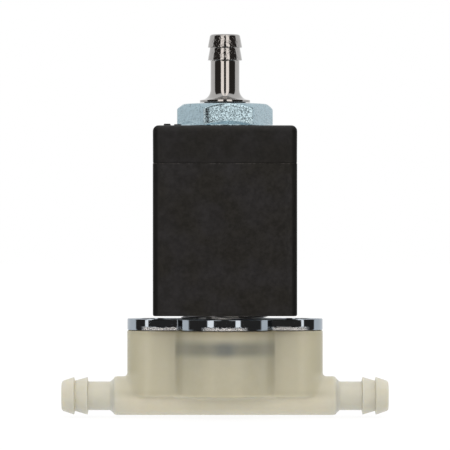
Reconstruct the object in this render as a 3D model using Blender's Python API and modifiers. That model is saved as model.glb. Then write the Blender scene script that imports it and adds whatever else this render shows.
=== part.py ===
"""Three-way solenoid valve: a moulded hose-barb body, a guide tube with a sliding plunger, and a coil.

Frame: origin on the underside of the flow bar, on the plunger's axis. +Z runs up the guide tube, the two
body hose barbs lie along X, and the coil's plug faces +Y. Lengths are written in millimetres and turned
into metres where a mesh is made.
"""

import math

import bmesh
import bpy

MM = 0.001
ROUND = 40  # facets round a turned piece that shows
INNER_ROUND = 28  # and round one that is closed in
SMOOTH_ANGLE = math.radians(32)
GAP = 0.1  # between faces that bear on each other
CUT_OVER = 2.0  # how far a cutter runs past the face that it opens

# Driving dimensions, in millimetres
OVERALL_X = 70.0
OVERALL_Z = 81.5

BAR_R = 4.2
BAR_AXIS_Z = 4.08  # a little less than the radius, which leaves a narrow flat to rest on
BAR_END_X = 24.0
HOSE_SHAFT_R = 3.08
HOSE_TIP_R = 3.25  # where each ramp of a body hose barb starts
HOSE_RIM_R = 4.0
HOSE_RIMS_X = (32.3, 29.45)
PORT_R = 1.9

BOSS_R = 11.6
EAR_R = 5.75
EAR_REACH = 20.95
EAR_CORNER_R = 4.0
EAR_DRAFT = 0.05  # the ears widen by this much towards the disc
BODY_TOP_Z = 18.15
FASTENER_X = 15.3
FASTENER_R = 1.5
FASTENER_HEAD_R = 2.9
FASTENER_END_Z = 9.9
FASTENER_HOLE_Z = 9.6
SOCKET_R = 1.1
SOCKET_DEPTH = 1.3

POCKET_R = 9.5
POCKET_FLOOR_Z = 13.35
CHAMBER_R = 6.6
CHAMBER_FLOOR_Z = 9.5
SEAT_Z = 12.0
SEAT_R = 2.2
ORIFICE_R = 1.2
OUTLET_X = 4.6  # where the outlet's drilling leaves the chamber
OUTLET_DRILL_R = 1.3

PLATE_T = 2.4
PLATE_Z = BODY_TOP_Z + GAP
PLATE_TOP_Z = PLATE_Z + PLATE_T

TUBE_R = 6.5
TUBE_BORE_R = 6.05
TUBE_TOP_Z = 60.9
TUBE_FLANGE_R = 9.3
TUBE_FLANGE_Z = 16.05
RUNNING_GAP = 0.08

STROKE = 1.2
PLUNGER_FOOT_Z = 13.2
PLUNGER_SHOULDER_Z = 30.0
PLUNGER_HEAD_Z = 36.7
PLUNGER_NECK_R = 4.6
CORE_FACE_Z = 38.15
SEAL_OVERTRAVEL = 0.4

COIL_SIZE = 30.4
COIL_FRONT_Y = -15.2
COIL_BACK_Y = 16.0
COIL_Z = 21.5
COIL_HEIGHT = 40.2
COIL_TOP_Z = COIL_Z + COIL_HEIGHT
COIL_BORE_R = 6.65
COIL_EDGE = 1.0
COIL_POCKET_HALF = 13.2
COIL_ROOF = 2.65

PLUG_BASE_SIZE = 27.5
PLUG_BASE_BACK_Y = 23.0
BLADE_WIDTH = 6.3
BLADE_T = 0.8
BLADE_SPACING = 18.0
BLADE_TIP_Y = 32.0
BLADE_ROOT_Y = 18.3
INSERT_BORE_R = 1.3
INSERT_R = 2.25
INSERT_ROOT_Y = 17.3

NUT_FLATS = 18.0
NUT_CORNER_R = 10.36
NUT_CONE_R = 10.4
NUT_FACE_R = 9.05  # of the round top face inside the corner chamfers
NUT_CHAMFER = 1.0  # height of those chamfers
NUT_FOOT_T = 1.6
NUT_Z = COIL_TOP_Z + GAP
NUT_TOP_Z = 66.6
NUT_TURN = math.radians(5)
STUD_R = 5.95

FITTING_Z = 66.95
FITTING_FLANGE_R = 5.4
FITTING_FLANGE_T = 0.5
FITTING_FILLET_R = 2.3
FITTING_SHAFT_R = 3.09
FITTING_TIP_R = 3.22
FITTING_RIM_R = 3.66
FITTING_RIMS_Z = (78.75, 76.0)
FITTING_BORE_R = 1.5
SPIGOT_R = 2.45
SPIGOT_FOOT_Z = 63.0
COUNTERBORE_R = 2.6
COUNTERBORE_Z = 62.4

COLOURS = {
    "valve_plastic": ((0.60, 0.57, 0.43), 0.35, 0.0),
    "coil_plastic": ((0.028, 0.026, 0.025), 0.55, 0.0),
    "plate_steel": ((0.62, 0.63, 0.65), 0.12, 1.0),
    "zinc_steel": ((0.60, 0.66, 0.70), 0.3, 1.0),
    "nickel": ((0.60, 0.59, 0.57), 0.18, 1.0),
    "core_steel": ((0.50, 0.50, 0.49), 0.28, 1.0),
    "spring_steel": ((0.46, 0.46, 0.46), 0.25, 1.0),
    "yoke_steel": ((0.45, 0.46, 0.47), 0.35, 1.0),
    "copper": ((0.72, 0.33, 0.16), 0.3, 1.0),
    "brass": ((0.75, 0.58, 0.27), 0.3, 1.0),
    "tin": ((0.70, 0.70, 0.69), 0.25, 1.0),
    "bobbin_nylon": ((0.55, 0.52, 0.44), 0.5, 0.0),
    "seal_rubber": ((0.02, 0.02, 0.022), 0.6, 0.0),
}


def clear_scene():
    for obj in list(bpy.data.objects):
        bpy.data.objects.remove(obj, do_unlink=True)


clear_scene()
PARTS = bpy.data.collections.new("solenoid_valve")
CUTTERS = bpy.data.collections.new("cutters")
bpy.context.scene.collection.children.link(PARTS)
bpy.context.scene.collection.children.link(CUTTERS)


def make_material(name):
    colour, roughness, metallic = COLOURS[name]
    material = bpy.data.materials.new(name)
    material.use_nodes = True
    shader = material.node_tree.nodes["Principled BSDF"]
    shader.inputs["Base Color"].default_value = (*colour, 1.0)
    shader.inputs["Roughness"].default_value = roughness
    shader.inputs["Metallic"].default_value = metallic
    return material


MATERIALS = {name: make_material(name) for name in COLOURS}


# ---- building blocks -----------------------------------------------------------------------------


def place(name, data, material):
    """A part with its material, or a hidden cutter where the material is None."""
    obj = bpy.data.objects.new(name, data)
    if material is None:
        CUTTERS.objects.link(obj)
        obj.hide_render = True
        obj.display_type = "WIRE"
    else:
        PARTS.objects.link(obj)
        data.materials.append(MATERIALS[material])
    return obj


def smooth(obj):
    obj.data.shade_smooth()
    obj.data.set_sharp_from_angle(angle=SMOOTH_ANGLE)


def turned(name, profile, material=None, at=(0, 0, 0), closed=True, steps=ROUND):
    """A profile of (radius, height) turned about Z. It runs down its outer side and back up its bore."""
    bm = bmesh.new()
    points = [bm.verts.new((r * MM, 0, z * MM)) for r, z in profile]
    for first, second in zip(points, points[1:]):
        bm.edges.new((first, second))
    if closed:
        bm.edges.new((points[-1], points[0]))
    mesh = bpy.data.meshes.new(name)
    bm.to_mesh(mesh)
    bm.free()
    obj = place(name, mesh, material)
    obj.location = [value * MM for value in at]
    screw = obj.modifiers.new("turn", "SCREW")
    screw.steps = steps
    screw.render_steps = steps
    screw.use_merge_vertices = True
    screw.merge_threshold = 1e-6
    screw.use_smooth_shade = True
    return obj


def rod(name, radius, low, high, material=None, x=0.0, y=0.0, steps=ROUND):
    return turned(
        name, [(0, high), (radius, high), (radius, low), (0, low)], material, (x, y, 0), False, steps
    )


def ring(name, inner, outer, low, high, material=None, steps=INNER_ROUND):
    return turned(name, [(outer, high), (outer, low), (inner, low), (inner, high)], material, steps=steps)


def block(name, low, high, material=None):
    """A box between two corners, with its scale already in the mesh."""
    bm = bmesh.new()
    bmesh.ops.create_cube(bm, size=1.0)
    for vert in bm.verts:
        for axis in range(3):
            middle = (low[axis] + high[axis]) / 2
            vert.co[axis] = (middle + vert.co[axis] * (high[axis] - low[axis])) * MM
    mesh = bpy.data.meshes.new(name)
    bm.to_mesh(mesh)
    bm.free()
    return place(name, mesh, material)


def prism(name, outline, low, high, material=None, along="Z"):
    """A flat outline extruded between two heights, along Z or along Y."""
    curve = bpy.data.curves.new(name, "CURVE")
    curve.dimensions = "2D"
    curve.fill_mode = "BOTH"
    curve.extrude = (high - low) / 2 * MM
    spline = curve.splines.new("POLY")
    spline.points.add(len(outline) - 1)
    for point, (across, up) in zip(spline.points, outline):
        point.co = (across * MM, up * MM, 0, 1)
    spline.use_cyclic_u = True
    guide = bpy.data.objects.new(name + "_outline", curve)
    CUTTERS.objects.link(guide)
    middle = (low + high) / 2 * MM
    if along == "Z":
        guide.location = (0, 0, middle)
    else:
        guide.location = (0, middle, 0)
        guide.rotation_euler = (math.pi / 2, 0, 0)
    bpy.context.view_layer.update()
    graph = bpy.context.evaluated_depsgraph_get()
    mesh = bpy.data.meshes.new_from_object(guide.evaluated_get(graph))
    bm = bmesh.new()
    bm.from_mesh(mesh)
    bmesh.ops.remove_doubles(bm, verts=bm.verts, dist=1e-6)
    bmesh.ops.dissolve_limit(bm, angle_limit=0.001, verts=bm.verts, edges=bm.edges)
    bmesh.ops.recalc_face_normals(bm, faces=bm.faces)
    bm.to_mesh(mesh)
    bm.free()
    mesh.name = name
    obj = place(name, mesh, material)
    obj.matrix_world = guide.matrix_world.copy()
    bpy.data.objects.remove(guide, do_unlink=True)
    return obj


def boolean(obj, other, operation):
    modifier = obj.modifiers.new(other.name, "BOOLEAN")
    modifier.operation = operation
    modifier.object = other
    modifier.solver = "EXACT"


def cut(obj, *cutters):
    for cutter in cutters:
        boolean(obj, cutter, "DIFFERENCE")


def join(obj, *others):
    for other in others:
        boolean(obj, other, "UNION")


def keep_inside(obj, limit):
    boolean(obj, limit, "INTERSECT")


def bevel(obj, width, segments=2, angle=30):
    modifier = obj.modifiers.new("edges", "BEVEL")
    modifier.width = width * MM
    modifier.segments = segments
    modifier.limit_method = "ANGLE"
    modifier.angle_limit = math.radians(angle)


def arc(centre, radius, start, end, steps):
    """Points round an arc, in degrees, with both ends."""
    turns = [math.radians(start + (end - start) * step / steps) for step in range(steps + 1)]
    return [(centre[0] + radius * math.cos(t), centre[1] + radius * math.sin(t)) for t in turns]


def eared_outline(disc_r, ear_r, reach):
    """The plan of the flange: a disc with a rounded ear on each side."""
    seam = math.degrees(math.asin((ear_r + EAR_DRAFT) / disc_r))
    centre = reach - ear_r
    outline = arc((centre, 0), ear_r, -90, 90, 14)
    outline += arc((0, 0), disc_r, seam, 180 - seam, 20)
    outline += arc((-centre, 0), ear_r, 90, 270, 14)
    outline += arc((0, 0), disc_r, 180 + seam, 360 - seam, 20)
    return outline


def coil_spring(name, coil_r, wire_r, low, high, turns, material, closed_turns=0.75):
    """A compression spring with its end turns wound flat."""
    per_turn = 10
    count = int(turns * per_turn)
    curve = bpy.data.curves.new(name, "CURVE")
    curve.dimensions = "3D"
    curve.bevel_depth = wire_r * MM
    curve.bevel_resolution = 2
    curve.use_fill_caps = True
    spline = curve.splines.new("POLY")
    spline.points.add(count)
    flat = 2.1 * wire_r  # rise of a closed end, just over one wire
    bottom = low + wire_r
    top = high - wire_r
    for index, point in enumerate(spline.points):
        turn = index / per_turn
        if turn < closed_turns:
            z = bottom + flat * turn / closed_turns
        elif turn > turns - closed_turns:
            z = top - flat * (turns - turn) / closed_turns
        else:
            free = (turn - closed_turns) / (turns - 2 * closed_turns)
            z = bottom + flat + (top - bottom - 2 * flat) * free
        angle = 2 * math.pi * turn
        point.co = (coil_r * MM * math.cos(angle), coil_r * MM * math.sin(angle), z * MM, 1)
    return place(name, curve, material)


# ---- valve body ------------------------------------------------------------------------------------


def bar_profile():
    """Half of the flow bar's outline from its tip to the middle, as (radius, distance from the middle)."""
    tip = OVERALL_X / 2
    profile = [(HOSE_TIP_R - 0.25, tip), (HOSE_TIP_R, tip - 0.25)]
    for rim, neck in zip(HOSE_RIMS_X, (HOSE_TIP_R, HOSE_SHAFT_R)):
        profile += [(HOSE_RIM_R, rim + 0.12), (HOSE_RIM_R, rim), (neck, rim - 0.22)]
    profile += [(HOSE_SHAFT_R, BAR_END_X + 0.3), (HOSE_SHAFT_R + 0.25, BAR_END_X)]
    profile += [(BAR_R - 0.5, BAR_END_X), (BAR_R, BAR_END_X - 0.8)]
    return profile


def make_body():
    half = bar_profile()
    outline = half + [(radius, -along) for radius, along in reversed(half)]
    body = turned("valve_body", [(0, outline[0][1]), *outline, (0, outline[-1][1])], "valve_plastic",
                  closed=False)
    body.rotation_euler = (0, math.pi / 2, 0)
    body.location = (0, 0, BAR_AXIS_Z * MM)

    housing = prism("body_housing", eared_outline(BOSS_R, EAR_R, EAR_REACH), BAR_AXIS_Z - 1, BODY_TOP_Z)
    corner = (EAR_REACH - EAR_CORNER_R, BAR_AXIS_Z + EAR_CORNER_R)
    front = arc(corner, EAR_CORNER_R, -90, 0, 6)
    front += [(EAR_REACH + CUT_OVER, corner[1]), (EAR_REACH + CUT_OVER, BODY_TOP_Z + CUT_OVER)]
    front += [(-across, up) for across, up in reversed(front)]
    limit = prism("body_housing_limit", front, -BOSS_R - CUT_OVER, BOSS_R + CUT_OVER, along="Y")
    keep_inside(housing, limit)
    join(body, housing)

    pocket = turned(
        "body_pocket",
        [
            (0, BODY_TOP_Z + CUT_OVER),
            (POCKET_R, BODY_TOP_Z + CUT_OVER),
            (POCKET_R, POCKET_FLOOR_Z),
            (CHAMBER_R, POCKET_FLOOR_Z),
            (CHAMBER_R, CHAMBER_FLOOR_Z),
            (SEAT_R + 0.5, CHAMBER_FLOOR_Z),
            (SEAT_R, SEAT_Z),
            (0, SEAT_Z),
        ],
        closed=False,
    )
    orifice = rod("orifice_drill", ORIFICE_R, BAR_AXIS_Z, SEAT_Z + CUT_OVER, steps=24)
    outlet_drop = rod(
        "outlet_drill", OUTLET_DRILL_R, BAR_AXIS_Z, CHAMBER_FLOOR_Z + 1, x=OUTLET_X, steps=24
    )
    inlet_bore = rod("inlet_bore", PORT_R, -OVERALL_X / 2 - CUT_OVER, ORIFICE_R, steps=24)
    outlet_bore = rod("outlet_bore", PORT_R, OUTLET_X - OUTLET_DRILL_R, OVERALL_X / 2 + CUT_OVER, steps=24)
    for bore in (inlet_bore, outlet_bore):
        bore.rotation_euler = (0, math.pi / 2, 0)
        bore.location = (0, 0, BAR_AXIS_Z * MM)
    foot = block("body_foot_cut", (-50, -6, -5), (50, 6, 0))
    cut(body, pocket, orifice, outlet_drop, inlet_bore, outlet_bore, foot)
    for side in (-1, 1):
        hole = rod(
            f"body_screw_hole_{side}",
            FASTENER_R + GAP,
            FASTENER_HOLE_Z,
            BODY_TOP_Z + CUT_OVER,
            x=side * FASTENER_X,
            steps=24,
        )
        cut(body, hole)


# ---- flange plate and its fasteners ----------------------------------------------------------------


def make_flange():
    outline = eared_outline(BOSS_R, EAR_R, EAR_REACH)
    plate = prism("flange_plate", outline, PLATE_Z, PLATE_TOP_Z, "plate_steel")
    bore = rod("plate_bore", TUBE_R + 0.15, PLATE_Z - CUT_OVER, PLATE_TOP_Z + CUT_OVER)
    cut(plate, bore)
    head_r = FASTENER_HEAD_R
    cone = head_r - FASTENER_R
    sink_z = PLATE_TOP_Z - 0.2
    screw_top = PLATE_TOP_Z - GAP
    for side, name in ((-1, "left"), (1, "right")):
        x = side * FASTENER_X
        hole = turned(
            f"plate_hole_{name}",
            [
                (0, PLATE_TOP_Z + CUT_OVER),
                (head_r + GAP, PLATE_TOP_Z + CUT_OVER),
                (head_r + GAP, sink_z),
                (FASTENER_R + 0.15, sink_z - cone),
                (FASTENER_R + 0.15, PLATE_Z - CUT_OVER),
                (0, PLATE_Z - CUT_OVER),
            ],
            at=(x, 0, 0),
            closed=False,
            steps=24,
        )
        cut(plate, hole)
        screw = turned(
            f"flange_screw_{name}",
            [
                (0, screw_top),
                (head_r, screw_top),
                (head_r, screw_top - 0.2),
                (FASTENER_R, screw_top - 0.2 - cone),
                (FASTENER_R, FASTENER_END_Z + 0.5),
                (FASTENER_R - 0.5, FASTENER_END_Z),
                (0, FASTENER_END_Z),
            ],
            "zinc_steel",
            at=(x, 0, 0),
            closed=False,
            steps=24,
        )
        socket_z = screw_top - SOCKET_DEPTH
        socket = rod(f"screw_socket_{name}", SOCKET_R, socket_z, PLATE_TOP_Z + CUT_OVER, x=x, steps=6)
        cut(screw, socket)


def make_spring_washer():
    """A three-wave ring that takes up the play between the flange plate and the coil."""
    inner, outer, thickness, waves = TUBE_R + 0.35, 9.4, 0.25, 3
    middle = (PLATE_TOP_Z + COIL_Z) / 2
    swing = (COIL_Z - PLATE_TOP_Z - thickness) / 2 - GAP / 2
    bm = bmesh.new()
    rings = []
    for step in range(ROUND):
        angle = 2 * math.pi * step / ROUND
        lift = middle + swing * math.sin(waves * angle)
        half = thickness / 2
        rings.append(
            [
                bm.verts.new((r * MM * math.cos(angle), r * MM * math.sin(angle), (lift + dz) * MM))
                for r, dz in ((outer, half), (outer, -half), (inner, -half), (inner, half))
            ]
        )
    for step in range(ROUND):
        here, there = rings[step], rings[(step + 1) % ROUND]
        for corner in range(4):
            after = (corner + 1) % 4
            bm.faces.new((here[corner], here[after], there[after], there[corner]))
    bmesh.ops.recalc_face_normals(bm, faces=bm.faces)
    mesh = bpy.data.meshes.new("coil_spring_washer")
    bm.to_mesh(mesh)
    bm.free()
    smooth(place("coil_spring_washer", mesh, "spring_steel"))


# ---- guide tube, core and plunger ------------------------------------------------------------------


def make_tube_and_core():
    turned(
        "guide_tube",
        [
            (TUBE_R, TUBE_TOP_Z),
            (TUBE_R, BODY_TOP_Z - 0.05),
            (TUBE_FLANGE_R, BODY_TOP_Z - 0.05),
            (TUBE_FLANGE_R, TUBE_FLANGE_Z),
            (TUBE_BORE_R, TUBE_FLANGE_Z),
            (TUBE_BORE_R, TUBE_TOP_Z),
        ],
        "core_steel",
        steps=INNER_ROUND,
    )
    o_ring_r = 1.25
    o_ring_centre = (POCKET_R - o_ring_r - 0.1, (POCKET_FLOOR_Z + TUBE_FLANGE_Z) / 2)
    section = list(reversed(arc(o_ring_centre, o_ring_r, 0, 320, 8)))
    turned("body_o_ring", section, "seal_rubber", steps=INNER_ROUND)

    core_r = TUBE_BORE_R - RUNNING_GAP
    groove, groove_depth = (3.45, 4.75), 1.2
    turned(
        "fixed_core",
        [
            (core_r, TUBE_TOP_Z),
            (core_r, CORE_FACE_Z),
            (groove[1], CORE_FACE_Z),
            (groove[1], CORE_FACE_Z + groove_depth),
            (groove[0], CORE_FACE_Z + groove_depth),
            (groove[0], CORE_FACE_Z),
            (ORIFICE_R, CORE_FACE_Z),
            (ORIFICE_R, COUNTERBORE_Z),
            (COUNTERBORE_R, COUNTERBORE_Z),
            (COUNTERBORE_R, NUT_TOP_Z),
            (STUD_R - 0.5, NUT_TOP_Z),
            (STUD_R, NUT_TOP_Z - 0.5),
            (STUD_R, TUBE_TOP_Z),
        ],
        "core_steel",
        steps=INNER_ROUND,
    )
    low, high = CORE_FACE_Z + 0.1, CORE_FACE_Z + groove_depth - 0.15
    ring("shading_ring", groove[0] + 0.15, groove[1] - 0.15, low, high, "copper")


def make_plunger():
    """The sliding armature with a seal in its foot, and a second sprung seal in its head."""
    radius = TUBE_BORE_R - RUNNING_GAP
    foot_pocket_r, foot_pocket_z = 2.9, PLUNGER_FOOT_Z + 2.2
    head_pocket_r, head_pocket_z = 2.5, 31.0
    plunger = turned(
        "plunger",
        [
            (0, head_pocket_z),
            (head_pocket_r, head_pocket_z),
            (head_pocket_r, PLUNGER_HEAD_Z),
            (PLUNGER_NECK_R - 0.3, PLUNGER_HEAD_Z),
            (PLUNGER_NECK_R, PLUNGER_HEAD_Z - 0.3),
            (PLUNGER_NECK_R, PLUNGER_SHOULDER_Z),
            (radius - 0.3, PLUNGER_SHOULDER_Z),
            (radius, PLUNGER_SHOULDER_Z - 0.3),
            (radius, PLUNGER_FOOT_Z + 0.5),
            (radius - 0.5, PLUNGER_FOOT_Z),
            (foot_pocket_r, PLUNGER_FOOT_Z),
            (foot_pocket_r, foot_pocket_z),
            (0, foot_pocket_z),
        ],
        "core_steel",
        closed=False,
        steps=INNER_ROUND,
    )
    for index, angle in enumerate((30, 150, 270)):
        x = (radius + 0.3) * math.cos(math.radians(angle))
        y = (radius + 0.3) * math.sin(math.radians(angle))
        groove = rod(f"plunger_groove_{index}", 0.9, 10, 40, x=x, y=y, steps=8)
        cut(plunger, groove)

    rod("lower_seat_seal", foot_pocket_r - 0.1, SEAT_Z + 0.05, foot_pocket_z - 0.1, "seal_rubber", steps=24)
    seal_top = CORE_FACE_Z - STROKE - 0.05
    seal_foot = seal_top - 3.0
    rod("upper_seat_seal", head_pocket_r - 0.1, seal_foot, seal_top, "seal_rubber", steps=24)
    coil_spring("upper_seal_spring", 1.7, 0.22, head_pocket_z + 0.05, seal_foot - 0.05, 4, "spring_steel")
    spring_r = (PLUNGER_NECK_R + TUBE_BORE_R) / 2
    low, high = PLUNGER_SHOULDER_Z + GAP, CORE_FACE_Z - GAP
    coil_spring("return_spring", spring_r, 0.4, low, high, 5, "spring_steel")


# ---- coil ------------------------------------------------------------------------------------------


def coil_middle():
    return COIL_Z + COIL_HEIGHT / 2


def make_coil_case():
    half = COIL_SIZE / 2
    case = block("coil_case", (-half, COIL_FRONT_Y, COIL_Z), (half, COIL_BACK_Y, COIL_TOP_Z), "coil_plastic")
    bevel(case, COIL_EDGE, 3)
    base_half = PLUG_BASE_SIZE / 2
    base = block(
        "plug_base",
        (-base_half, COIL_BACK_Y - CUT_OVER, coil_middle() - base_half),
        (base_half, PLUG_BASE_BACK_Y, coil_middle() + base_half),
    )
    bevel(base, 0.8, 2)
    join(case, base)
    pocket = block(
        "coil_pocket",
        (-COIL_POCKET_HALF, -COIL_POCKET_HALF, COIL_Z - CUT_OVER),
        (COIL_POCKET_HALF, COIL_POCKET_HALF, COIL_TOP_Z - COIL_ROOF),
    )
    bore = rod("coil_bore", COIL_BORE_R, COIL_TOP_Z - COIL_ROOF - 1, COIL_TOP_Z + CUT_OVER)
    cut(case, pocket, bore)
    for name, low, high in blade_boxes(0.15):
        cut(case, block("slot_" + name, low, (high[0], PLUG_BASE_BACK_Y + CUT_OVER, high[2])))
    hole_low, hole_high = -PLUG_BASE_BACK_Y - CUT_OVER, 0.3 - INSERT_ROOT_Y
    insert_hole = rod("insert_hole", INSERT_R + 0.15, hole_low, hole_high, steps=24)
    insert_hole.rotation_euler = (math.pi / 2, 0, 0)
    insert_hole.location = (0, 0, coil_middle() * MM)
    cut(case, insert_hole)


def blade_boxes(clearance):
    """Low and high corners of the three flat blades: two upright at the sides, the earth blade across."""
    tall, thin, apart = BLADE_WIDTH / 2 + clearance, BLADE_T / 2 + clearance, BLADE_SPACING / 2
    root = BLADE_ROOT_Y - clearance
    boxes = []
    for name, x in (("terminal_left", -apart), ("terminal_right", apart)):
        low = (x - thin, root, coil_middle() - tall)
        high = (x + thin, BLADE_TIP_Y, coil_middle() + tall)
        boxes.append((name, low, high))
    low = (-tall, root, coil_middle() - apart - thin)
    high = (tall, BLADE_TIP_Y, coil_middle() - apart + thin)
    boxes.append(("ground_terminal", low, high))
    return boxes


def make_coil_inside():
    pocket_half = COIL_POCKET_HALF - 0.2
    plate_z = COIL_Z + GAP
    plate_top = plate_z + 2.0
    roof = COIL_TOP_Z - COIL_ROOF - 0.2
    arm_t, arm_half = 2.0, 8.0

    plate = block("yoke_plate", (-pocket_half, -pocket_half, plate_z), (pocket_half, pocket_half, plate_top),
                  "yoke_steel")
    cut(plate, rod("yoke_plate_bore", COIL_BORE_R, plate_z - CUT_OVER, plate_top + CUT_OVER))

    frame = block("yoke_frame", (-pocket_half, -arm_half, plate_top + 0.2), (pocket_half, arm_half, roof),
                  "yoke_steel")
    inside = block(
        "yoke_inside",
        (-pocket_half + arm_t, -arm_half - CUT_OVER, plate_top - CUT_OVER),
        (pocket_half - arm_t, arm_half + CUT_OVER, roof - arm_t),
    )
    cut(frame, inside, rod("yoke_bore", COIL_BORE_R, roof - arm_t - CUT_OVER, roof + CUT_OVER))

    flange_r, barrel_r, flange_t = pocket_half - arm_t - 0.2, COIL_BORE_R + 0.9, 1.2
    low, high = plate_top + 0.2, roof - arm_t - 0.2
    turned(
        "coil_bobbin",
        [
            (flange_r, high),
            (flange_r, high - flange_t),
            (barrel_r, high - flange_t),
            (barrel_r, low + flange_t),
            (flange_r, low + flange_t),
            (flange_r, low),
            (COIL_BORE_R, low),
            (COIL_BORE_R, high),
        ],
        "bobbin_nylon",
        steps=INNER_ROUND,
    )
    low, high = low + flange_t + GAP, high - flange_t - GAP
    ring("coil_winding", barrel_r + GAP, flange_r - 0.3, low, high, "copper")

    for name, low_corner, high_corner in blade_boxes(0.0):
        blade = block(name, low_corner, high_corner, "tin")
        bevel(blade, 0.25, 1)
    low, high = GAP - PLUG_BASE_BACK_Y, -INSERT_ROOT_Y
    insert = ring("plug_screw_insert", INSERT_BORE_R, INSERT_R, low, high, "brass")
    insert.rotation_euler = (math.pi / 2, 0, 0)
    insert.location = (0, 0, coil_middle() * MM)


# ---- nut and exhaust fitting -----------------------------------------------------------------------


def make_nut():
    nut = rod("coil_nut", NUT_FLATS / 2 / math.cos(math.pi / 6), NUT_Z, NUT_TOP_Z, "zinc_steel", steps=6)
    nut.rotation_euler = (0, 0, NUT_TURN)
    slope = (NUT_CORNER_R - NUT_FACE_R) / NUT_CHAMFER
    envelope = turned(
        "nut_envelope",
        [
            (0, NUT_TOP_Z + CUT_OVER),
            (NUT_FACE_R - slope * CUT_OVER, NUT_TOP_Z + CUT_OVER),
            (NUT_FACE_R, NUT_TOP_Z),
            (NUT_CORNER_R, NUT_TOP_Z - NUT_CHAMFER),
            (NUT_CORNER_R, NUT_Z - CUT_OVER),
            (0, NUT_Z - CUT_OVER),
        ],
        closed=False,
    )
    keep_inside(nut, envelope)
    foot_z = NUT_Z - 0.01
    foot = turned(
        "nut_foot",
        [
            (0, NUT_Z + NUT_FOOT_T),
            (NUT_FLATS / 2 - 0.4, NUT_Z + NUT_FOOT_T),
            (NUT_CONE_R, NUT_Z + 0.15),
            (NUT_CONE_R, foot_z),
            (0, foot_z),
        ],
        closed=False,
    )
    join(nut, foot)
    cut(nut, rod("nut_thread", STUD_R + 0.15, NUT_Z - CUT_OVER, NUT_TOP_Z + CUT_OVER))


def make_top_fitting():
    profile = [(FITTING_BORE_R, OVERALL_Z)]
    profile += [(FITTING_TIP_R - 0.25, OVERALL_Z), (FITTING_TIP_R, OVERALL_Z - 0.25)]
    for rim, neck in zip(FITTING_RIMS_Z, (FITTING_TIP_R, FITTING_SHAFT_R)):
        profile += [(FITTING_RIM_R, rim + 0.1), (FITTING_RIM_R, rim), (neck, rim - 0.2)]
    flange_top = FITTING_Z + FITTING_FLANGE_T
    centre = (FITTING_SHAFT_R + FITTING_FILLET_R, flange_top + FITTING_FILLET_R)
    profile += arc(centre, FITTING_FILLET_R, 180, 265, 6)
    profile += [
        (FITTING_FLANGE_R, flange_top),
        (FITTING_FLANGE_R, FITTING_Z),
        (SPIGOT_R, FITTING_Z),
        (SPIGOT_R, SPIGOT_FOOT_Z),
        (FITTING_BORE_R, SPIGOT_FOOT_Z),
    ]
    turned("exhaust_hose_barb", profile, "nickel")
    ring("exhaust_gasket", 2.65, 4.5, NUT_TOP_Z + 0.05, FITTING_Z - 0.05, "seal_rubber")


make_body()
make_flange()
make_spring_washer()
make_tube_and_core()
make_plunger()
make_coil_case()
make_coil_inside()
make_nut()
make_top_fitting()
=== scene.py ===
"""The looks of a three-way solenoid valve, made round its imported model.

Lengths are in millimetres until a mesh is made. Turned pieces are lathed from a profile, the moulded body is
carved to a distance function that holds its fillets, and the plate, the nut and the coil are lofted.
"""

import math

import bmesh
import bpy
import numpy as np
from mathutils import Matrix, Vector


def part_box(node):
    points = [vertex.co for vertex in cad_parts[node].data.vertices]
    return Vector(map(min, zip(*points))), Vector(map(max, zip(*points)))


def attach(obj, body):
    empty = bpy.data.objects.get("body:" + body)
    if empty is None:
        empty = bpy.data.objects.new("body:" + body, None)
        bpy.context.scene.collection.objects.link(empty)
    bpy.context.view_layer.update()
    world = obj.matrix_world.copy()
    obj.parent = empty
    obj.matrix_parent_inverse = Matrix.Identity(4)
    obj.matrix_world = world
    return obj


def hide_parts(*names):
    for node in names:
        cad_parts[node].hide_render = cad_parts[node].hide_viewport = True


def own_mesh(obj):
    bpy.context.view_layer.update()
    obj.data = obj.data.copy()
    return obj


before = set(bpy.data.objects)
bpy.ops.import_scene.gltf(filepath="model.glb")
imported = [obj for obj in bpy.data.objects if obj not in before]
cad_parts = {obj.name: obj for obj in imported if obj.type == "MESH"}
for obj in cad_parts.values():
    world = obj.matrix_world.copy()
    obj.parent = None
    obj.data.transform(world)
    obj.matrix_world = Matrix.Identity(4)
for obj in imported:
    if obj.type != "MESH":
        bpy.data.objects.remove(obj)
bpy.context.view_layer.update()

MM = 0.001


def box_mm(node):
    low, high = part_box(node)
    return [value / MM for value in low], [value / MM for value in high]


# ---- places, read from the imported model

_, BODY_HIGH = box_mm("valve_body")
PLATE_LOW, PLATE_HIGH = box_mm("flange_plate")
COIL_LOW, COIL_HIGH = box_mm("coil_case")
NUT_LOW, NUT_HIGH = box_mm("coil_nut")
TOP_LOW, TOP_HIGH = box_mm("exhaust_hose_barb")
SPRING_LOW, SPRING_HIGH = box_mm("return_spring")
SEAL_SPRING_LOW, SEAL_SPRING_HIGH = box_mm("upper_seal_spring")
WASHER_LOW, WASHER_HIGH = box_mm("coil_spring_washer")
SCREW_LOW, SCREW_HIGH = box_mm("flange_screw_right")

TIP_X = BODY_HIGH[0]
BODY_TOP = BODY_HIGH[2]
BOSS_R = BODY_HIGH[1]
EAR_REACH = PLATE_HIGH[0]
EAR_R = 5.75
EAR_CORNER_R = 4.0
BAR_R = 4.2
BAR_Z = 4.08
BAR_END = 24.0
HOSE_SHAFT_R = 3.08
HOSE_TIP_R = 3.25
HOSE_RIM_R = 4.0
HOSE_RIMS_X = (32.3, 29.45)
HOSE_ROOT_FLARE = 0.6
HOSE_OVERLAP = 0.1
BODY_FILLET = 0.9
BAR_EDGE_R = 0.9
EAR_EDGE_R = 0.25
BOSS_EDGE_R = 0.3
BODY_CELL = 0.27

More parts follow.
